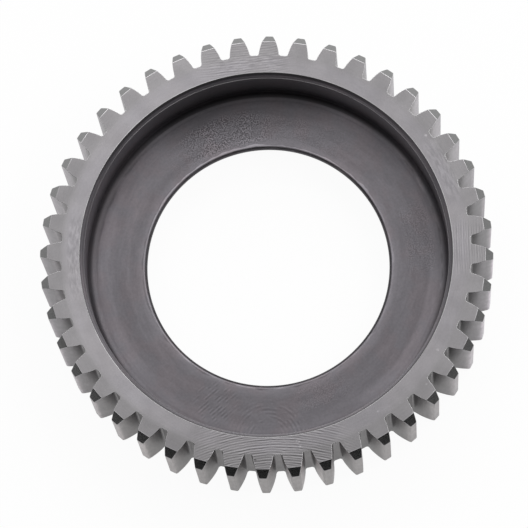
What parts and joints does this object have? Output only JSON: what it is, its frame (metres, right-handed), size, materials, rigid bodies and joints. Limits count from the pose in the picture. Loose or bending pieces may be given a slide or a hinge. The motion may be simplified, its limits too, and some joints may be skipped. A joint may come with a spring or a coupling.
{
  "type": "rotary hammer gear",
  "caption": "Steel spur gear ring with chamfered external teeth, a deep round recess in the front face and a thin web that carries a large bore.",
  "frame": {"origin": "on the gear's axis, in the plane of the rear face that it lies on", "axes": "+Z along the gear's axis, out of the deep front recess; +X through the middle of a tooth"},
  "size_m": [0.0574, 0.0574, 0.0121],
  "materials": {
    "steel": "fine turned faces, milled teeth, satin"
  },
  "bodies": {
    "root": {"ring_gear": "steel"}
  },
  "joints": []
}
